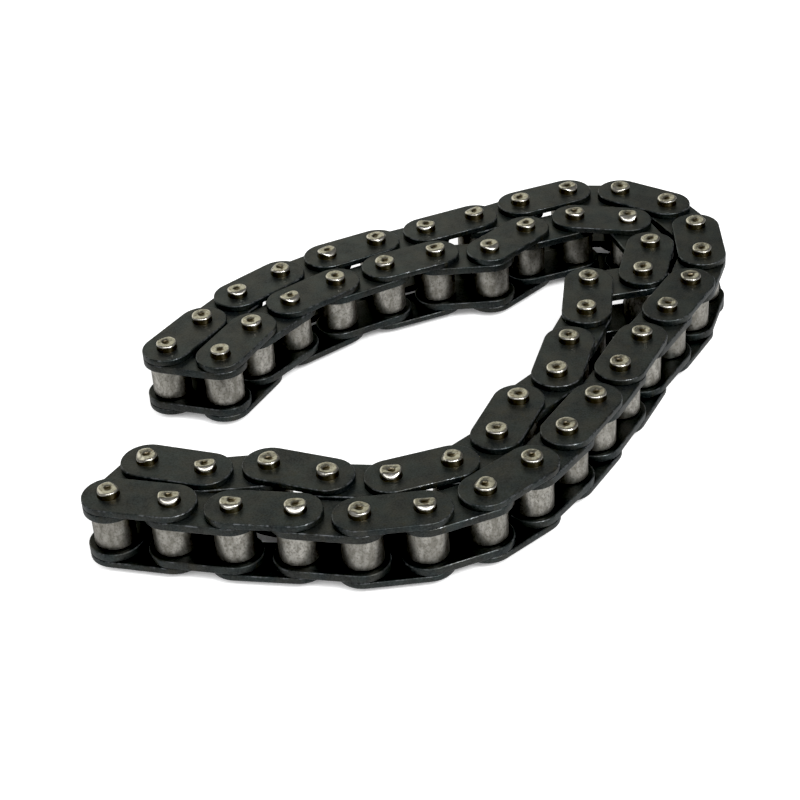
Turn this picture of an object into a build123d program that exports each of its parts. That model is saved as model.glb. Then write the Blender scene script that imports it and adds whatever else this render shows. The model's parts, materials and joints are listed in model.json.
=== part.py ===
"""Endless roller chain, 3/8 inch pitch, single strand, straight-sided plates.

The chain lies on its side, doubled into an open C, standing on the lower ends of its pins.
Link 0 is at the tip of the upper arm. Links count round the outer run, over the tip of the
lower arm, back along the inner run, and close at link 0. Even links are outer links (two
plates riveted on two pins), odd links are inner links (two plates pressed on two bushes,
with a loose roller on each bush). Pin n joins link n - 1 to link n.

Origin: centre of the footprint, at the level of the lower pin ends. +Z is along the pins.
Units: millimetres and degrees.
"""

import os
from math import acos, atan2, cos, degrees, hypot, radians, sin

from build123d import *

os.makedirs("parts", exist_ok=True)

# --- driving dimensions -------------------------------------------------------------------
pitch = 9.525
plate_radius = 4.13
outer_plate_thickness = 1.04
inner_plate_thickness = 1.30
width_over_outer_link = 10.74
width_over_inner_link = 8.53

pin_radius = 1.64
pin_length = 13.10
pin_head_radius = 1.70
pin_head_rounding = 0.40
crown_depth = 0.12
crown_radius = 0.90
dimple_radius = 0.50
dimple_depth = 0.40

bush_radius = 2.35
bush_bore_radius = 1.69
roller_radius = 3.175
roller_bore_radius = 2.41
roller_length = 5.76

# --- how the chain lies -------------------------------------------------------------------
# The first heading of each run, then the turn at every pin along it, left turns positive.
outer_run_start = 55
upper_arm_outside = [-2, -13, -9, -8, -4, 2, 3, -5]
far_bend_outside = [-28, -28, -30, -26, -18, -12, -1]
lower_arm_outside = [5, -2, -3, -5, -12, -19, -17, -16, 2, -4, -1]
outer_run_turns = upper_arm_outside + far_bend_outside + lower_arm_outside

inner_run_start = -20
lower_arm_inside = [21, -24, 14, 24, 26, 24, -20, 27, -6, 15]
far_bend_inside = [-72, 65, 32, 59, 33, 25]
upper_arm_inside = [-44, 21, 5, 10, 13, 11]
inner_run_turns = lower_arm_inside + far_bend_inside + upper_arm_inside

# The outer link and the inner link whose pieces are written one by one.
opened_outer_link = 26
opened_inner_link = 25


def run_headings(start, turns):
    """Heading of each link in a run, from its first heading and the turn at each pin."""
    headings = [start]
    for turn in turns:
        headings.append(headings[-1] + turn)
    return headings


def closed_loop_headings():
    """Headings of all links, with one link across each arm tip turned so that the loop closes."""
    outer_run = run_headings(outer_run_start, outer_run_turns)
    inner_run = run_headings(inner_run_start, inner_run_turns)
    gap_x = -sum(cos(radians(heading)) for heading in outer_run + inner_run)
    gap_y = -sum(sin(radians(heading)) for heading in outer_run + inner_run)
    middle = degrees(atan2(gap_y, gap_x))
    spread = degrees(acos(hypot(gap_x, gap_y) / 2))
    return outer_run + [middle - spread] + inner_run + [middle + spread]


def pin_centres(headings):
    """Plan position of each pin, with the centre of the footprint at the origin."""
    centres = [(0.0, 0.0)]
    for heading in headings[:-1]:
        x, y = centres[-1]
        centres.append((x + pitch * cos(radians(heading)), y + pitch * sin(radians(heading))))
    middle_x = (min(x for x, y in centres) + max(x for x, y in centres)) / 2
    middle_y = (min(y for x, y in centres) + max(y for x, y in centres)) / 2
    return [(x - middle_x, y - middle_y) for x, y in centres]


headings = closed_loop_headings()
pins = pin_centres(headings)

# --- heights of the layers, measured from the chain's middle plane -------------------------
outer_plate_face = width_over_outer_link / 2
inner_plate_face = width_over_inner_link / 2
pin_end = pin_length / 2

# --- the five kinds of piece, each lying along X with its first pin at the origin ----------
with BuildPart() as outer_plate:
    with BuildSketch():
        with Locations((pitch / 2, 0)):
            SlotCenterToCenter(pitch, 2 * plate_radius)
        with Locations((0, 0), (pitch, 0)):
            Circle(pin_radius, mode=Mode.SUBTRACT)
    extrude(amount=outer_plate_thickness)

with BuildPart() as inner_plate:
    with BuildSketch():
        with Locations((pitch / 2, 0)):
            SlotCenterToCenter(pitch, 2 * plate_radius)
        with Locations((0, 0), (pitch, 0)):
            Circle(bush_radius, mode=Mode.SUBTRACT)
    extrude(amount=inner_plate_thickness)

with BuildPart() as pin:
    with BuildSketch(Plane.XZ):
        with BuildLine():
            Polyline(
                (0, 0),
                (0, pin_end - dimple_depth),
                (dimple_radius, pin_end - crown_depth),
                (crown_radius, pin_end),
                (pin_head_radius - pin_head_rounding, pin_end),
            )
            RadiusArc(
                (pin_head_radius - pin_head_rounding, pin_end),
                (pin_head_radius, pin_end - pin_head_rounding),
                pin_head_rounding,
            )
            Polyline(
                (pin_head_radius, pin_end - pin_head_rounding),
                (pin_radius, outer_plate_face),
                (pin_radius, 0),
                (0, 0),
            )
        make_face()
        mirror(about=Plane.XZ)
    revolve(axis=Axis.Z)

with BuildPart() as bush:
    with BuildSketch():
        Circle(bush_radius)
        Circle(bush_bore_radius, mode=Mode.SUBTRACT)
    extrude(amount=width_over_inner_link)

with BuildPart() as roller:
    with BuildSketch():
        Circle(roller_radius)
        Circle(roller_bore_radius, mode=Mode.SUBTRACT)
    extrude(amount=roller_length)


def placed(piece, link, along, height):
    """A copy of a piece in a link, at a distance along it and a height above the middle plane."""
    x, y = pins[link]
    link_frame = Location((x, y, pin_end), (0, 0, headings[link]))
    return link_frame * Location((along, 0, height)) * piece.part


def outer_link_pieces(link):
    """The four pieces of an outer link, by name."""
    return {
        "outer_plate_upper": placed(outer_plate, link, 0, outer_plate_face - outer_plate_thickness),
        "outer_plate_lower": placed(outer_plate, link, 0, -outer_plate_face),
        "pin_a": placed(pin, link, 0, 0),
        "pin_b": placed(pin, link, pitch, 0),
    }


def inner_link_pieces(link):
    """The six pieces of an inner link, by name."""
    return {
        "inner_plate_upper": placed(inner_plate, link, 0, inner_plate_face - inner_plate_thickness),
        "inner_plate_lower": placed(inner_plate, link, 0, -inner_plate_face),
        "bush_a": placed(bush, link, 0, -inner_plate_face),
        "bush_b": placed(bush, link, pitch, -inner_plate_face),
        "roller_a": placed(roller, link, 0, -roller_length / 2),
        "roller_b": placed(roller, link, pitch, -roller_length / 2),
    }


# --- writing the pieces --------------------------------------------------------------------
for link in range(len(pins)):
    is_outer = link % 2 == 0
    pieces = outer_link_pieces(link) if is_outer else inner_link_pieces(link)
    for name, piece in pieces.items():
        piece.label = name
    if link in (opened_outer_link, opened_inner_link):
        for name, piece in pieces.items():
            export_step(piece, f"parts/{name}.step")
    else:
        kind = "outer" if is_outer else "inner"
        link_name = f"{kind}_link_{link // 2 + 1:02d}"
        export_step(Compound(label=link_name, children=list(pieces.values())), f"parts/{link_name}.step")
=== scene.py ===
"""Studio scene of the roller chain, with each CAD node replaced by finished meshes.

Units are metres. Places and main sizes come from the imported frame: pin places from the joints,
heights and radii from the boxes of the nodes that hold one piece each. Gaps, roundings and the
details of the riveted heads are named here.
"""

import json
import math
import random

import bmesh
import bpy
from mathutils import Matrix, Vector, noise

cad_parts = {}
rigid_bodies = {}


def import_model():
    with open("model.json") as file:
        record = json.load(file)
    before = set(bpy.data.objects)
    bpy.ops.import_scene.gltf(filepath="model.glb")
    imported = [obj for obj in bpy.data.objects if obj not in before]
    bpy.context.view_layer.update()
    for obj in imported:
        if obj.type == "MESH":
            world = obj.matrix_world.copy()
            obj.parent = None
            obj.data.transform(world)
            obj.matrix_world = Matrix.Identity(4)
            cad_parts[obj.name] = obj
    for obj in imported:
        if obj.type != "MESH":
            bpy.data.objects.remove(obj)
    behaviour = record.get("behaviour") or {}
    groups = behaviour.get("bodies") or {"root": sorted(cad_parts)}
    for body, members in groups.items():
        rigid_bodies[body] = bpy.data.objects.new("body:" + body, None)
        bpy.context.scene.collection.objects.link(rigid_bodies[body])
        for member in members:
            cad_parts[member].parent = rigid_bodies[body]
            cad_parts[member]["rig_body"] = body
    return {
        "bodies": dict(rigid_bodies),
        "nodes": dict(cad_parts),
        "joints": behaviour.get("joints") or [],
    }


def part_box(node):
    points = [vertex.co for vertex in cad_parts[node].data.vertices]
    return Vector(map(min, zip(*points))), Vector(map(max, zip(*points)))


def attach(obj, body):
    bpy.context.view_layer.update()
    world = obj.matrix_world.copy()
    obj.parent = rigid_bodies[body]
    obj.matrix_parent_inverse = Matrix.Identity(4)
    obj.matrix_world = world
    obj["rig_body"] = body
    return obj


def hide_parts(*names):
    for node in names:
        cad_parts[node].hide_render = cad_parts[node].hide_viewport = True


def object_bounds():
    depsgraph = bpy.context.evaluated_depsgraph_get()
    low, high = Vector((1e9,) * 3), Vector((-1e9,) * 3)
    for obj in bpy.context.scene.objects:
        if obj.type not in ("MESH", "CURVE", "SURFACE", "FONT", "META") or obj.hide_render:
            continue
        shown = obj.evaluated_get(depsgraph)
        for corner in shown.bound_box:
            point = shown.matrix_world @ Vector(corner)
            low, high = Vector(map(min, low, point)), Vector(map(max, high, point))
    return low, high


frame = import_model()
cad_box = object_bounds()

MM = 0.001
WELD_DISTANCE = 0.001 * MM

# ------------------------------------------------------------------ sizes read from the frame


class Span:
    """Lowest and highest point of a node, and the sizes between them."""

    def __init__(self, node):
        self.low, self.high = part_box(node)
        self.size = self.high - self.low
        self.middle = (self.low + self.high) / 2


def pin_axes(body):
    """The two pin axes of a link in plan.
    At the cut pin, the known axis is mirrored in the link's middle."""
    axes = [
        Vector(joint["pos_m"][:2])
        for joint in frame["joints"]
        if body in (joint["parent"], joint["child"]) and not joint.get("continuous")
    ]
    if len(axes) == 1:
        middle = Span(body).middle.xy
        axes.append(2 * middle - axes[0])
    return axes


outer_upper = Span("outer_plate_upper")
outer_lower = Span("outer_plate_lower")
inner_upper = Span("inner_plate_upper")
inner_lower = Span("inner_plate_lower")
pin_span = Span("pin_a")
bush_span = Span("bush_a")
roller_span = Span("roller_a")

roller_bodies = [joint["child"] for joint in frame["joints"] if joint.get("continuous")]
link_bodies = [body for body in frame["bodies"] if body not in roller_bodies]
opened_outer = frame["nodes"]["outer_plate_upper"]["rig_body"]
opened_inner = frame["nodes"]["inner_plate_upper"]["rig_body"]

HEAD_STEP = 0.06 * MM  # how far a riveted head stands out from the shank
PIN_PLAY = 0.05 * MM  # between a pin and its bush, at each side
ROLLER_PLAY = 0.06 * MM  # between a roller and its bush, at each side

first_axis, second_axis = pin_axes(opened_outer)
PITCH = (second_axis - first_axis).length
PLATE_RADIUS = (outer_upper.size.x - abs(second_axis.x - first_axis.x)) / 2
PIN_MIDDLE = pin_span.middle.z
PIN_HEAD_RADIUS = pin_span.size.x / 2
PIN_RADIUS = PIN_HEAD_RADIUS - HEAD_STEP
BUSH_RADIUS = bush_span.size.x / 2
BUSH_BORE = PIN_RADIUS + PIN_PLAY
ROLLER_RADIUS = roller_span.size.x / 2
ROLLER_BORE = BUSH_RADIUS + ROLLER_PLAY

# ------------------------------------------------------------------------------ mesh building


class Shape:
    """Points, faces and point marks of one mesh. Marks drive the materials."""

    def __init__(self):
        self.points = []
        self.local = []
        self.wear_and_shade = []
        self.faces = []
        self.flat = []

    def point(self, place, wear_and_shade=0.0):
        self.points.append(Vector(place))
        self.local.append(Vector(place))
        self.wear_and_shade.append(wear_and_shade)
        return len(self.points) - 1

    def ring(self, places, wear_and_shade=0.0):
        return [self.point(place, wear_and_shade) for place in places]

    def face(self, corners, flat=False):
        self.faces.append(corners)
        self.flat.append(flat)

    def bridge(self, low, high, closed=True, flat=False):
        """Quads between two rings of equal length. Seen from outside, low runs left to right under high."""
        count = len(low)
        for i in range(count if closed else count - 1):
            j = (i + 1) % count
            self.face((low[i], low[j], high[j], high[i]), flat)

    def add(self, other, placement, offset):
        """Adds another shape, placed by a matrix. The offset shifts its material pattern."""
        base = len(self.points)
        self.points += [placement @ p for p in other.points]
        self.local += [p + offset for p in other.local]
        self.wear_and_shade += other.wear_and_shade
        self.faces += [tuple(base + i for i in corners) for corners in other.faces]
        self.flat += other.flat


def weld(mesh):
    """Joins points that lie on each other, so that the halves of a plate share their seam."""
    joined = bmesh.new()
    joined.from_mesh(mesh)
    bmesh.ops.remove_doubles(joined, verts=joined.verts, dist=WELD_DISTANCE)
    joined.to_mesh(mesh)
    joined.free()


def make_object(name, shape, material, body, slot, *nodes):
    """A mesh object from a shape, riding on a body and standing for CAD nodes."""
    mesh = bpy.data.meshes.new(name)
    mesh.from_pydata([tuple(p) for p in shape.points], [], shape.faces)
    mesh.polygons.foreach_set("use_smooth", [not flat for flat in shape.flat])
    local = mesh.attributes.new("local", "FLOAT_VECTOR", "POINT")
    local.data.foreach_set("vector", [value for p in shape.local for value in p])
    wear_and_shade = mesh.attributes.new("wear_and_shade", "FLOAT", "POINT")
    wear_and_shade.data.foreach_set("value", shape.wear_and_shade)
    mesh.materials.append(material)
    weld(mesh)
    mesh.validate()
    mesh.update()
    piece = bpy.data.objects.new(name, mesh)
    bpy.context.scene.collection.objects.link(piece)
    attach(piece, body)
    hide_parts(*nodes)
    return piece


def circle(radius, z, count, centre=(0.0, 0.0)):
    step = 2 * math.pi / count
    return [
        (centre[0] + radius * math.cos(i * step), centre[1] + radius * math.sin(i * step), z)
        for i in range(count)
    ]


# ----------------------------------------------------------------------------------- plates

ARC_STEPS = 28
STRAIGHT_STEPS = 3
MIDDLE_STEPS = 6
ROUND_STEPS = 4
HOLE_ROUND = 0.10 * MM
FACE_BORDER = 0.14 * MM  # a narrow band of faces next to the rounding keeps the flat face flat
OUTWARD_ROUND = 0.20 * MM
INWARD_ROUND = 0.15 * MM


def half_outline(inset):
    """Outline of the half plate round the first pin, from the middle line round the end and back.
    The last points run along the plate's middle line and close the loop."""
    radius = PLATE_RADIUS - inset
    half = PITCH / 2
    edge = [(half * (1 - i / STRAIGHT_STEPS), radius) for i in range(STRAIGHT_STEPS)]
    for i in range(ARC_STEPS + 1):
        angle = math.pi / 2 + math.pi * i / ARC_STEPS
        edge.append((radius * math.cos(angle), radius * math.sin(angle)))
    edge += [(half * i / STRAIGHT_STEPS, -radius) for i in range(1, STRAIGHT_STEPS + 1)]
    middle = [(half, -radius + 2 * radius * i / MIDDLE_STEPS) for i in range(1, MIDDLE_STEPS)]
    return edge, middle


def rounding(size, z_edge, direction):
    """Inset, height and wear along a rounded edge, from the flat face to the side wall."""
    steps = []
    for i in range(ROUND_STEPS + 1):
        angle = math.pi / 2 * i / ROUND_STEPS
        inset = size * (1 - math.sin(angle))
        drop = size * (1 - math.cos(angle))
        steps.append((inset, z_edge - direction * drop, math.sin(2 * angle)))
    return steps


def half_plate(shape, hole_radius, thickness, upper_round, lower_round, turn):
    """One half of a plate, from the hole outward. turn places the other half.
    The face with the smaller rounding looks at the rollers and gets the painted-shade mark, which darkens
    its tone and sheen."""

    def place(points, z):
        return [turn @ Vector((x, y, z)) for x, y in points]

    edge, middle = half_outline(0.0)
    angles = [math.atan2(y, x) for x, y in edge + middle]
    levels = rounding(upper_round, thickness, 1) + rounding(lower_round, 0.0, -1)[::-1]
    edge_rings = []
    for inset, z, wear_and_shade in levels:
        ring_edge, _ = half_outline(inset)
        edge_rings.append(shape.ring(place(ring_edge, z), wear_and_shade))
    for ring_upper, ring_lower in zip(edge_rings, edge_rings[1:]):
        shape.bridge(ring_lower, ring_upper, closed=False)
    for z, size, ring, upward in (
        (thickness, upper_round, edge_rings[0], True),
        (0.0, lower_round, edge_rings[-1], False),
    ):
        # the inward face is marked -1: painted shade that darkens its tone and sheen
        painted_shade = -1.0 if size == min(upper_round, lower_round) else 0.0
        inner_edge, inner_middle = half_outline(size + FACE_BORDER)
        calm = shape.ring(place(inner_edge, z), painted_shade)
        if upward:
            shape.bridge(ring, calm, closed=False, flat=True)
        else:
            shape.bridge(calm, ring, closed=False, flat=True)
        loop = calm + shape.ring(place(inner_middle, z), painted_shade)
        lip = hole_radius + HOLE_ROUND
        lip_ring = [(lip * math.cos(a), lip * math.sin(a)) for a in angles]
        hole_lip = shape.ring(place(lip_ring, z), painted_shade)
        if upward:
            shape.bridge(loop, hole_lip, flat=True)
            upper_lip = hole_lip
        else:
            shape.bridge(hole_lip, loop, flat=True)
            lower_lip = hole_lip
    wall = [(hole_radius * math.cos(a), hole_radius * math.sin(a)) for a in angles]
    wall_upper = shape.ring(place(wall, thickness - HOLE_ROUND))
    wall_lower = shape.ring(place(wall, HOLE_ROUND))
    shape.bridge(upper_lip, wall_upper)
    shape.bridge(wall_upper, wall_lower)
    shape.bridge(wall_lower, lower_lip)


def plate(hole_radius, thickness, upper_round, lower_round):
    """A whole straight-sided plate along X, its first hole at the origin and its lower face at z = 0."""
    shape = Shape()
    other_half = Matrix.Translation((PITCH, 0, 0)) @ Matrix.Rotation(math.pi, 4, "Z")
    for turn in (Matrix.Identity(4), other_half):
        half_plate(shape, hole_radius, thickness, upper_round, lower_round, turn)
    return shape


# ------------------------------------------------------------------------- pins and tubes

PIN_STEPS = 56

# Marks on a pin head: -1 the dimple's core, darkened as painted shade, 0 stained, 0.4 the face, 1 bright.
HEAD_TOP = (  # radius as a share of the head radius, depth below the top in millimetres, mark
    (0.12, 0.32, -1.0),
    (0.21, 0.28, -0.8),
    (0.29, 0.19, 0.0),
    (0.36, 0.11, 0.25),
    (0.44, 0.07, 0.4),
    (0.53, 0.05, 0.4),
    (0.63, 0.03, 0.4),
    (0.73, 0.01, 0.4),
    (0.83, 0.00, 0.5),
    (0.90, 0.02, 1.0),
    (0.95, 0.06, 1.0),
    (0.985, 0.12, 1.0),
    (1.00, 0.20, 0.7),
)
HEAD_WALL = (  # radius as before, share of the way from the rim down to the plate, mark
    (0.995, 0.15, 0.0),
    (0.98, 0.50, 0.0),
    (0.965, 0.80, 0.0),
)
DIMPLE_DEPTH = 0.34 * MM
DIMPLE_SHIFT = 0.20 * MM
DIMPLE_REACH = 0.9  # share of the head radius where the dimple's own shape has faded out
DIMPLE_UNEVEN = 0.20
HEAD_UNEVEN = 0.06
HEAD_PATCH = 1.3  # how many uneven patches lie across a head
LEAN = 0.06
LEAN_UNEVEN = 0.04 * MM
DEEPEST_SAG = 0.9  # share of the proud length that the flats and the lean may take
FLAT_SOFTNESS = 25  # the larger, the sharper the start of a flat
BARE_DEPTH = 0.05  # share of the head radius at which a flat is pressed to bare metal
FACE_MARK = 0.3  # points with at least this mark are rubbed bare by a flat


def pressed(distance):
    """Depth of a slanted flat that starts at distance 0, with a softened start."""
    return math.log1p(math.exp(distance * FLAT_SOFTNESS)) / FLAT_SOFTNESS


def pin_head(shape, top, direction, proud, press, seed):
    """One pin end, with a dimple and two flats pressed across the link. Returns its lowest ring.
    press is how hard the flats are pressed, from 0 to 1."""
    rng = random.Random(seed)
    lean = Vector((rng.uniform(-1, 1), rng.uniform(-1, 1))) * LEAN
    shift = Vector((rng.uniform(-1, 1), rng.uniform(-1, 1))) * DIMPLE_SHIFT
    swell = rng.uniform(0.96, 1.0)
    crush = rng.uniform(0.8, 1.1)
    stretch = rng.uniform(0.0, 0.3)
    along = rng.uniform(0, math.pi)
    across = math.pi / 2 + rng.gauss(0, 0.4)
    flats = [  # where each flat starts, and its slope
        (rng.uniform(0.32, 0.90) + 0.8 * (1 - press), rng.uniform(0.42, 0.66))
        for _ in range(2)
    ]
    origin = Vector((rng.uniform(0, 99), rng.uniform(0, 99), 0.0))
    rings = []
    for share, depth, wear_and_shade in HEAD_TOP:
        ring = []
        rim = []
        fade = max(0.0, 1 - share / DIMPLE_REACH)
        for x, y, _ in circle(1.0, 0.0, PIN_STEPS):
            wobble = noise.noise(origin + Vector((x, y, share)) * HEAD_PATCH)
            oval = stretch * fade * (2 * (x * math.cos(along) + y * math.sin(along)) ** 2 - 1)
            radius = min(share * swell * (1 + oval + (HEAD_UNEVEN + DIMPLE_UNEVEN * fade) * wobble), 1.0)
            px = x * radius * PIN_HEAD_RADIUS + shift.x * fade
            py = y * radius * PIN_HEAD_RADIUS + shift.y * fade
            side = (x * math.cos(across) + y * math.sin(across)) * share
            cut = sum(slope * pressed(way * side - start) for way, (start, slope) in zip((1, -1), flats))
            sag = depth * crush * MM + cut * PIN_HEAD_RADIUS
            sag += max(0.0, lean.x * px + lean.y * py + LEAN_UNEVEN * (1 + wobble) * share)
            sag = min(sag, DEEPEST_SAG * proud)
            rim.append(sag)
            bare_and_shade = max(wear_and_shade, min(1.0, cut / BARE_DEPTH)) if wear_and_shade >= FACE_MARK else wear_and_shade
            ring.append(shape.point((px, py, top - direction * sag), bare_and_shade))
        rings.append(ring)
    for share, down, wear_and_shade in HEAD_WALL:
        ring = []
        for (x, y, _), sag in zip(circle(1.0, 0.0, PIN_STEPS), rim):
            wobble = noise.noise(origin + Vector((x, y, 1.0)) * HEAD_PATCH)
            radius = min(share * swell * (1 + HEAD_UNEVEN * wobble * (1 - down)), 1.0) * PIN_HEAD_RADIUS
            below = sag + (proud - sag) * down
            ring.append(shape.point((x * radius, y * radius, top - direction * below), wear_and_shade))
        rings.append(ring)
    # the dimple's middle carries the painted-shade mark
    middle = shape.point((shift.x, shift.y, top - direction * DIMPLE_DEPTH * crush), -1.0)
    first = rings[0]
    for i in range(PIN_STEPS):
        j = (i + 1) % PIN_STEPS
        corners = (first[i], first[j], middle)
        shape.face(corners if direction > 0 else corners[::-1])
    for inner, outer in zip(rings, rings[1:]):
        if direction > 0:
            shape.bridge(outer, inner)
        else:
            shape.bridge(inner, outer)
    return rings[-1]


def pin(press, seed):
    """A pin on the Z axis, its middle at z = 0."""
    shape = Shape()
    half = pin_span.size.z / 2
    face = outer_upper.high.z - PIN_MIDDLE
    upper = pin_head(shape, half, 1, half - face, press, f"{seed} upper")
    lower = pin_head(shape, -half, -1, half - face, press, f"{seed} lower")
    upper_neck = shape.ring(circle(PIN_RADIUS, face, PIN_STEPS))
    lower_neck = shape.ring(circle(PIN_RADIUS, -face, PIN_STEPS))
    shape.bridge(upper_neck, upper)
    shape.bridge(lower_neck, upper_neck)
    shape.bridge(lower, lower_neck)
    return shape


DENT_DEPTH = 0.012 * MM
DENT_LENGTH = MM / 0.3
DENT_PATCH = 1.5


def tube(radius, bore, length, outer_round, inner_round, steps, seed):
    """A tube on the Z axis, its middle at z = 0, with rounded ends and a slightly uneven wall."""
    shape = Shape()
    half = length / 2
    profile = [(radius - inset, z) for inset, z, _ in rounding(outer_round, half, 1)]
    profile += [(r, -z) for r, z in profile[::-1]]
    profile += [(bore + inner_round, -half), (bore, inner_round - half)]
    profile += [(bore, half - inner_round), (bore + inner_round, half)]
    rng = random.Random(seed)
    origin = Vector((rng.uniform(0, 99), rng.uniform(0, 99), 0.0))
    rings = []
    for r, z in profile:
        places = []
        for x, y, _ in circle(1.0, 0.0, steps):
            dent = DENT_DEPTH * abs(noise.noise(origin + Vector((x, y, z / DENT_LENGTH)) * DENT_PATCH))
            places.append((x * (r - dent), y * (r - dent), z))
        rings.append(shape.ring(places))
    for first, second in zip(rings, rings[1:] + rings[:1]):
        shape.bridge(second, first)
    return shape


# --------------------------------------------------------------------------------- materials


class Nodes:
    """A short way to write a material's node tree."""

    def __init__(self, name):
        self.material = bpy.data.materials.new(name)
        self.material.use_nodes = True
        self.tree = self.material.node_tree
        self.shader = self.tree.nodes["Principled BSDF"]

    def node(self, kind, **settings):
        made = self.tree.nodes.new(kind)
        for key, value in settings.items():
            setattr(made, key, value)
        return made

    def link(self, source, target):
        self.tree.links.new(source, target)

    def attribute(self, name):
        return self.node("ShaderNodeAttribute", attribute_name=name)

    def local(self, scale=(1.0, 1.0, 1.0)):
        """The piece's own coordinates in millimetres, stretched by scale."""
        mapping = self.node("ShaderNodeMapping")
        mapping.inputs["Scale"].default_value = [s / MM for s in scale]
        self.link(self.attribute("local").outputs["Vector"], mapping.inputs["Vector"])
        return mapping.outputs["Vector"]

    def noise(self, scale, detail=3.0, roughness=0.55, stretch=(1.0, 1.0, 1.0)):
        made = self.node("ShaderNodeTexNoise")
        made.inputs["Scale"].default_value = scale
        made.inputs["Detail"].default_value = detail
        made.inputs["Roughness"].default_value = roughness
        self.link(self.local(stretch), made.inputs["Vector"])
        return made.outputs["Fac"]

    def specks(self, scale, size):
        """Small round spots: 1 within size of a scattered point, else 0."""
        made = self.node("ShaderNodeTexVoronoi")
        made.inputs["Scale"].default_value = scale
        self.link(self.local(), made.inputs["Vector"])
        return self.ramp(made.outputs["Distance"], (size * 0.6, 1.0), (size, 0.0))

    def ramp(self, value, *stops):
        """A grey ramp through (position, level) stops."""
        made = self.node("ShaderNodeValToRGB")
        elements = made.color_ramp.elements
        while len(elements) < len(stops):
            elements.new(0.5)
        for element, (position, level) in zip(elements, stops):
            element.position = position
            element.color = (level, level, level, 1)
        self.link(value, made.inputs["Fac"])
        return made.outputs["Color"]

    def maths(self, operation, first, second):
        made = self.node("ShaderNodeMath", operation=operation)
        for socket, value in zip(made.inputs, (first, second)):
            if isinstance(value, (int, float)):
                socket.default_value = value
            else:
                self.link(value, socket)
        return made.outputs["Value"]

    def mix(self, share, first, second):
        """A colour mix. Each side is a colour or a socket."""
        made = self.node("ShaderNodeMix", data_type="RGBA")
        factor, side_a, side_b = made.inputs[0], made.inputs[6], made.inputs[7]
        for socket, value in ((factor, share), (side_a, first), (side_b, second)):
            if isinstance(value, tuple):
                socket.default_value = (*value, 1)
            elif isinstance(value, (int, float)):
                socket.default_value = value
            else:
                self.link(value, socket)
        return made.outputs[2]

    def bump(self, height, distance, strength, normal=None):
        made = self.node("ShaderNodeBump")
        made.inputs["Strength"].default_value = strength
        made.inputs["Distance"].default_value = distance
        self.link(height, made.inputs["Height"])
        if normal:
            self.link(normal, made.inputs["Normal"])
        return made.outputs["Normal"]

    def set(self, **values):
        """Feeds the shader's inputs, with underscores for the spaces in their names."""
        for key, value in values.items():
            socket = self.shader.inputs[key.replace("_", " ")]
            if isinstance(value, (int, float)):
                socket.default_value = value
            elif isinstance(value, tuple):
                socket.default_value = (*value, 1)
            else:
                self.link(value, socket)


SHADED_LEVEL = 0.4  # what is left of the tone and sheen on the inward faces, darkened as painted shade


def blackened_steel():
    """Black-oxided plate: green-grey black, satin, faintly mottled, bright where the edges are rubbed, with
    the inward faces darkened as painted shade.
    """
    look = Nodes("blackened_steel")
    broad = look.noise(0.30, 2.0)
    fine = look.noise(3.5, 4.0)
    grain = look.noise(22.0, 2.0, stretch=(0.35, 1.0, 1.0))
    cool_black, warm_black = (0.0080, 0.0092, 0.0100), (0.0105, 0.0112, 0.0092)
    mottle_black, oil_brown = (0.0130, 0.0155, 0.0155), (0.017, 0.014, 0.006)
    dust_grey, bare_grey = (0.16, 0.17, 0.16), (0.38, 0.40, 0.42)
    tone = look.mix(look.ramp(broad, (0.35, 0.0), (0.65, 1.0)), cool_black, warm_black)
    tone = look.mix(look.ramp(fine, (0.45, 0.0), (0.75, 0.55)), tone, mottle_black)
    oil = look.ramp(look.noise(0.8, 3.0, stretch=(1.0, 1.3, 0.2)), (0.58, 0.0), (0.72, 0.6))
    tone = look.mix(oil, tone, oil_brown)
    dusty = look.ramp(look.noise(0.9, 2.0), (0.48, 0.0), (0.56, 1.0))
    dust = look.maths("MULTIPLY", look.specks(1.1, 0.050), dusty)
    tone = look.mix(dust, tone, dust_grey)
    mark = look.attribute("wear_and_shade").outputs["Fac"]
    edge = look.maths("MAXIMUM", mark, 0.0)
    # Painted shade: a negative mark keeps only part of the tone and sheen on the inward faces.
    unshaded_share = look.maths("ADD", 1.0, look.maths("MINIMUM", mark, 0.0))
    unshaded_level = look.maths("ADD", SHADED_LEVEL, look.maths("MULTIPLY", unshaded_share, 1 - SHADED_LEVEL))
    patches = look.ramp(look.noise(0.55, 2.0), (0.46, 0.0), (0.56, 1.0))
    nicks = look.ramp(look.noise(2.2, 2.0), (0.42, 0.1), (0.62, 1.0))
    rubbed = look.maths("MULTIPLY", patches, nicks)
    worn = look.maths("MULTIPLY", edge, rubbed)
    tone = look.mix(look.maths("MULTIPLY", worn, 0.4), tone, bare_grey)
    rough = look.ramp(fine, (0.3, 0.34), (0.7, 0.46))
    rough = look.mix(look.maths("MULTIPLY", edge, patches), rough, (0.24, 0.24, 0.24))
    warm_sheen, cool_sheen = (0.98, 1.0, 0.92), (0.82, 1.0, 1.0)
    tint = look.mix(look.ramp(look.noise(0.26, 3.0), (0.42, 0.0), (0.60, 1.0)), warm_sheen, cool_sheen)
    shear = look.noise(9.0, 2.0, stretch=(1.0, 1.0, 0.06))
    normal = look.bump(grain, 0.010 * MM, 0.5)
    normal = look.bump(shear, 0.012 * MM, 0.35, normal)
    normal = look.bump(fine, 0.03 * MM, 0.25, normal)
    normal = look.bump(broad, 0.20 * MM, 0.12, normal)
    # painted shade darkens the inward faces
    tone = look.mix(unshaded_level, (0.0, 0.0, 0.0), tone)
    broad_sheen = look.ramp(broad, (0.32, 0.13), (0.68, 0.37))
    fine_sheen = look.ramp(fine, (0.36, 0.08), (0.64, 0.40))
    sheen = look.maths("MULTIPLY", look.maths("ADD", broad_sheen, fine_sheen), unshaded_level)
    look.set(Base_Color=tone, Roughness=rough, Metallic=look.maths("MULTIPLY", worn, 0.7),
             Specular_IOR_Level=sheen, Specular_Tint=tint, Normal=normal)
    return look.material


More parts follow.
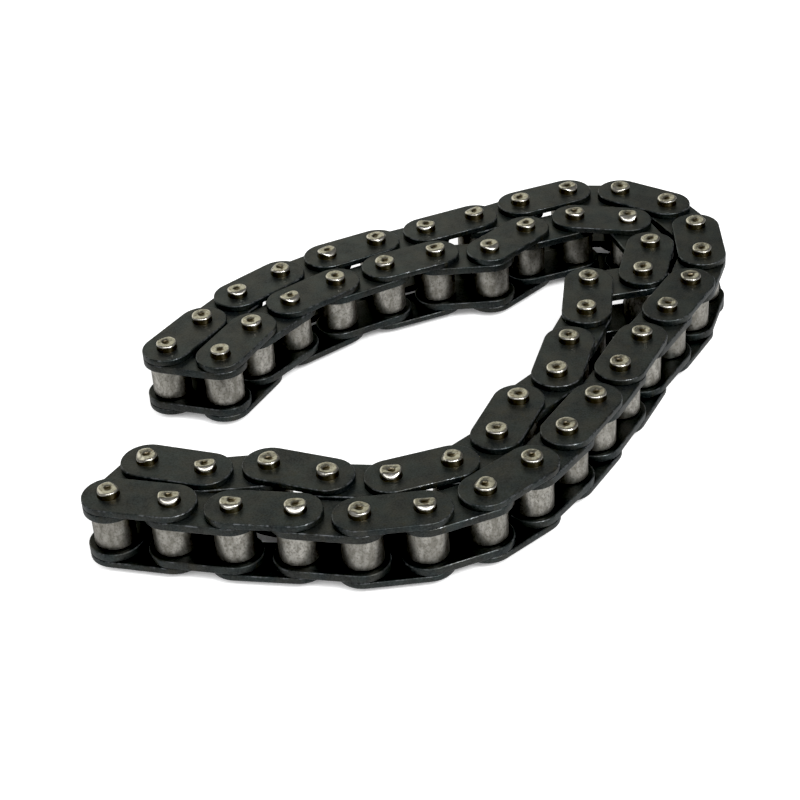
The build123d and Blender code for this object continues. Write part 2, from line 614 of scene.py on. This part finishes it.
def pin_steel():
    """Riveted pin: grey-olive face, bright rim and flats, a dimple whose core is darkened as painted shade,
    dark wall down to the plate.
    """
    look = Nodes("pin_steel")
    mottle = look.noise(2.4, 3.0)
    bare_and_shade = look.attribute("wear_and_shade").outputs["Fac"]
    pale_face, dull_face = (0.60, 0.58, 0.49), (0.32, 0.30, 0.23)
    pale_rim, dull_rim = (0.87, 0.84, 0.77), (0.68, 0.64, 0.53)
    pale_stain, dark_stain = (0.27, 0.235, 0.15), (0.17, 0.125, 0.07)
    rust_brown, painted_shade_black, pit_brown = (0.20, 0.12, 0.06), (0.045, 0.036, 0.018), (0.12, 0.10, 0.08)
    face = look.mix(look.ramp(mottle, (0.35, 0.0), (0.7, 1.0)), pale_face, dull_face)
    face = look.mix(look.ramp(look.noise(1.6, 3.0), (0.56, 0.0), (0.68, 0.6)), face, rust_brown)
    bright = look.mix(look.ramp(mottle, (0.4, 0.0), (0.75, 1.0)), pale_rim, dull_rim)
    stain = look.mix(look.noise(1.5, 2.0), pale_stain, dark_stain)
    tone = look.mix(look.ramp(bare_and_shade, (0.0, 0.0), (0.3, 1.0)), stain, face)
    tone = look.mix(look.ramp(bare_and_shade, (0.5, 0.0), (0.85, 1.0)), tone, bright)
    # Painted shade: the dimple's core is darkened towards black.
    dimple_shade = look.maths("MAXIMUM", look.maths("MULTIPLY", bare_and_shade, -1.0), 0.0)
    tone = look.mix(look.maths("MULTIPLY", dimple_shade, 0.8), tone, painted_shade_black)
    pits = look.specks(3.2, 0.12)
    tone = look.mix(look.maths("MULTIPLY", pits, 0.6), tone, pit_brown)
    normal = look.bump(look.noise(3.0, 3.0), 0.06 * MM, 0.5)
    normal = look.bump(look.noise(14.0, 2.0), 0.012 * MM, 0.4, normal)
    look.set(Base_Color=tone, Roughness=0.28, Metallic=1.0, Normal=normal)
    return look.material


def roller_steel():
    """Tumbled roller: satin grey, mottled, with soft upright streaks and a few dark pits."""
    look = Nodes("roller_steel")
    streak = look.noise(1.1, 3.0, 0.55, stretch=(1.0, 1.0, 0.45))
    grit = look.noise(3.0, 3.0, 0.6, stretch=(1.0, 1.0, 0.8))
    dark_streak, pale_streak = (0.33, 0.316, 0.278), (0.64, 0.618, 0.568)
    grit_grey, pit_black, dull_grey = (0.20, 0.19, 0.16), (0.06, 0.055, 0.045), (0.15, 0.142, 0.12)
    tone = look.mix(look.ramp(streak, (0.36, 0.0), (0.64, 1.0)), dark_streak, pale_streak)
    tone = look.mix(look.ramp(grit, (0.48, 0.0), (0.64, 0.70)), tone, grit_grey)
    tone = look.mix(look.maths("MULTIPLY", look.specks(1.3, 0.09), 0.8), tone, pit_black)
    dulled = look.ramp(look.noise(0.10, 1.0), (0.35, 0.45), (0.65, 0.0))
    tone = look.mix(dulled, tone, dull_grey)
    rough = look.ramp(grit, (0.3, 0.32), (0.7, 0.45))
    normal = look.bump(grit, 0.02 * MM, 0.5)
    normal = look.bump(streak, 0.04 * MM, 0.35, normal)
    look.set(Base_Color=tone, Roughness=rough, Metallic=1.0, Normal=normal)
    return look.material


def bush_steel():
    """Pressed bush: plain satin steel with a lengthwise grain."""
    look = Nodes("bush_steel")
    grain = look.noise(4.0, 3.0, stretch=(1.0, 1.0, 0.15))
    tone = look.mix(grain, (0.26, 0.25, 0.23), (0.38, 0.37, 0.34))
    normal = look.bump(grain, 0.02 * MM, 0.4)
    look.set(Base_Color=tone, Roughness=0.42, Metallic=0.95, Normal=normal)
    return look.material


# -------------------------------------------------------------------------- building the links

MATERIALS = {
    "plate": blackened_steel(),
    "pin": pin_steel(),
    "roller": roller_steel(),
    "bush": bush_steel(),
}
SLOTS = {
    "plate": "blackened_plate",
    "pin": "bright_pin",
    "roller": "roller_steel",
    "bush": "bush_steel",
}

outer_up = plate(PIN_RADIUS, outer_upper.size.z, OUTWARD_ROUND, INWARD_ROUND)
outer_down = plate(PIN_RADIUS, outer_upper.size.z, INWARD_ROUND, OUTWARD_ROUND)
inner_up = plate(BUSH_RADIUS, inner_upper.size.z, OUTWARD_ROUND, INWARD_ROUND)
inner_down = plate(BUSH_RADIUS, inner_upper.size.z, INWARD_ROUND, OUTWARD_ROUND)


def link_frame(body):
    """The link's own frame: origin on its first pin at floor level, +X to its second pin."""
    start, end = pin_axes(body)
    heading = math.atan2(end.y - start.y, end.x - start.x)
    return Matrix.Translation((start.x, start.y, 0)) @ Matrix.Rotation(heading, 4, "Z")


PATTERN_RANGE = 300 * MM


def pattern_offset(seed):
    """A place of its own in the material patterns."""
    rng = random.Random(seed)
    return Vector([rng.uniform(-PATTERN_RANGE, PATTERN_RANGE) for _ in range(3)])


def put(kind, name, body, nodes, *parts):
    """One object of one kind of piece in a link. parts are (shape, x along the link, height)."""
    base = link_frame(body if body in link_bodies else opened_inner)
    gathered = Shape()
    for number, (shape, along, height) in enumerate(parts):
        spot = base @ Matrix.Translation((along, 0, height))
        gathered.add(shape, spot, pattern_offset(f"{name} {number}"))
    return make_object(name, gathered, MATERIALS[kind], body, SLOTS[kind], *nodes)


def pin_press(body):
    """How hard the flats are pressed: most in the long runs, where the link lies along X, and less
    round the bends."""
    start, end = pin_axes(body)
    return abs(end.x - start.x) / (end - start).length


def make_roller(seed):
    return tube(ROLLER_RADIUS, ROLLER_BORE, roller_span.size.z,
                outer_round=0.28 * MM, inner_round=0.12 * MM, steps=56, seed=seed)


def make_bush(seed):
    return tube(BUSH_RADIUS, BUSH_BORE, bush_span.size.z,
                outer_round=0.12 * MM, inner_round=0.08 * MM, steps=40, seed=seed)


for body in link_bodies:
    if body in (opened_outer, opened_inner):
        continue
    if body.startswith("outer"):
        put("plate", f"{body}_plates", body, [body],
            (outer_up, 0, outer_upper.low.z), (outer_down, 0, outer_lower.low.z))
        put("pin", f"{body}_pins", body, [body],
            (pin(pin_press(body), f"{body} 1"), 0, PIN_MIDDLE),
            (pin(pin_press(body), f"{body} 2"), PITCH, PIN_MIDDLE))
    else:
        put("plate", f"{body}_plates", body, [body],
            (inner_up, 0, inner_upper.low.z), (inner_down, 0, inner_lower.low.z))
        put("bush", f"{body}_bushes", body, [body],
            (make_bush(f"{body} 1"), 0, PIN_MIDDLE), (make_bush(f"{body} 2"), PITCH, PIN_MIDDLE))
        put("roller", f"{body}_rollers", body, [body],
            (make_roller(f"{body} 1"), 0, PIN_MIDDLE), (make_roller(f"{body} 2"), PITCH, PIN_MIDDLE))


def along_link(node, body):
    """How far along its link a node's middle lies."""
    start, _ = pin_axes(body)
    return (Span(node).middle.xy - start).length


for node, body, shape, span in (
    ("outer_plate_upper", opened_outer, outer_up, outer_upper),
    ("outer_plate_lower", opened_outer, outer_down, outer_lower),
    ("inner_plate_upper", opened_inner, inner_up, inner_upper),
    ("inner_plate_lower", opened_inner, inner_down, inner_lower),
):
    put("plate", f"{node}_look", body, [node], (shape, 0, span.low.z))
for letter in "ab":
    node = f"pin_{letter}"
    put("pin", f"{node}_look", opened_outer, [node],
        (pin(pin_press(opened_outer), node), along_link(node, opened_outer), PIN_MIDDLE))
    node = f"bush_{letter}"
    put("bush", f"{node}_look", opened_inner, [node],
        (make_bush(node), along_link(node, opened_inner), PIN_MIDDLE))
    node = f"roller_{letter}"
    put("roller", f"{node}_look", frame["nodes"][node]["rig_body"], [node],
        (make_roller(node), along_link(node, opened_inner), PIN_MIDDLE))

# ------------------------------------------------------------------- floor, light and camera

FLOOR_REACH = 1.5
FLOOR_GLOW = 0.78
CONTACT_REACH = 15 * MM
BLACK_POINT = 0.006
WORLD_STRENGTH = 0.10
SOFTBOXES = (  # name, place, width, height, power, colour
    ("softbox_behind", (-0.46, 0.90, 0.56), 1.6, 0.75, 2.85, (1.0, 0.99, 0.85)),
    ("softbox_above", (0.0, -0.36, 0.62), 0.8, 0.45, 2.5, (0.97, 0.98, 1.0)),
    ("softbox_key", (0.30, -0.40, 0.50), 0.16, 0.16, 2.9, (1.0, 1.0, 1.0)),
)


def studio_floor():
    """A wide pale floor. Its open parts glow a little to the camera, so that they read as white."""
    mesh = bpy.data.meshes.new("floor")
    corners = [(x * FLOOR_REACH, y * FLOOR_REACH, 0) for x, y in ((-1, -1), (1, -1), (1, 1), (-1, 1))]
    mesh.from_pydata(corners, [], [(0, 1, 2, 3)])
    look = Nodes("floor_white")
    open_floor = look.node("ShaderNodeAmbientOcclusion", samples=8)
    open_floor.inputs["Distance"].default_value = CONTACT_REACH
    away_from_chain = look.ramp(open_floor.outputs["AO"], (0.08, 0.0), (0.19, 1.0))
    camera_ray = look.node("ShaderNodeLightPath").outputs["Is Camera Ray"]
    glow = look.maths("MULTIPLY", look.maths("MULTIPLY", camera_ray, away_from_chain), FLOOR_GLOW)
    look.set(Base_Color=(0.8, 0.8, 0.8), Roughness=0.9, Specular_IOR_Level=0.1,
             Emission_Color=(1, 1, 1), Emission_Strength=glow)
    mesh.materials.append(look.material)
    floor = bpy.data.objects.new("floor", mesh)
    bpy.context.scene.collection.objects.link(floor)


def soft_light(name, place, width, height, power, colour):
    """A rectangular softbox that faces the middle of the floor."""
    light = bpy.data.lights.new(name, "AREA")
    light.shape = "RECTANGLE"
    light.size = width
    light.size_y = height
    light.energy = power
    light.color = colour
    lamp = bpy.data.objects.new(name, light)
    lamp.location = place
    lamp.rotation_euler = (-Vector(place)).to_track_quat("-Z", "Y").to_euler()
    bpy.context.scene.collection.objects.link(lamp)


def studio_world(strength):
    world = bpy.data.worlds.new("studio")
    world.use_nodes = True
    background = world.node_tree.nodes["Background"]
    background.inputs["Color"].default_value = (1, 1, 1, 1)
    background.inputs["Strength"].default_value = strength
    bpy.context.scene.world = world


def picture_tones():
    """Plain tones, with the darkest parts pulled down to black."""
    settings = bpy.context.scene.view_settings
    settings.view_transform = "Standard"
    settings.use_curve_mapping = True
    settings.curve_mapping.black_level = (BLACK_POINT, BLACK_POINT, BLACK_POINT)
    settings.curve_mapping.update()


CAMERA_ELEVATION = math.radians(34.5)
CAMERA_ROLL = math.radians(-4.1)
CAMERA_DISTANCE = 310.2 * MM
CAMERA_LENS = 86.8
AIM_OFFSET = Vector((-5.1, -10.0, 0.0)) * MM


def camera():
    """A camera in front of the chain, looking down at it over its long side."""
    lens = bpy.data.cameras.new("camera")
    lens.lens = CAMERA_LENS
    lens.sensor_width = 36.0
    lens.clip_start = 0.01
    view = bpy.data.objects.new("camera", lens)
    low, high = cad_box
    aim = (Vector(low) + Vector(high)) / 2 + AIM_OFFSET
    back = Vector((0, -math.cos(CAMERA_ELEVATION), math.sin(CAMERA_ELEVATION)))
    upright = Matrix.Rotation(math.pi / 2 - CAMERA_ELEVATION, 4, "X")
    roll = Matrix.Rotation(CAMERA_ROLL, 4, "Z")
    view.matrix_world = Matrix.Translation(aim + back * CAMERA_DISTANCE) @ upright @ roll
    bpy.context.scene.collection.objects.link(view)
    bpy.context.scene.camera = view


studio_floor()
studio_world(WORLD_STRENGTH)
for softbox in SOFTBOXES:
    soft_light(*softbox)
camera()
picture_tones()
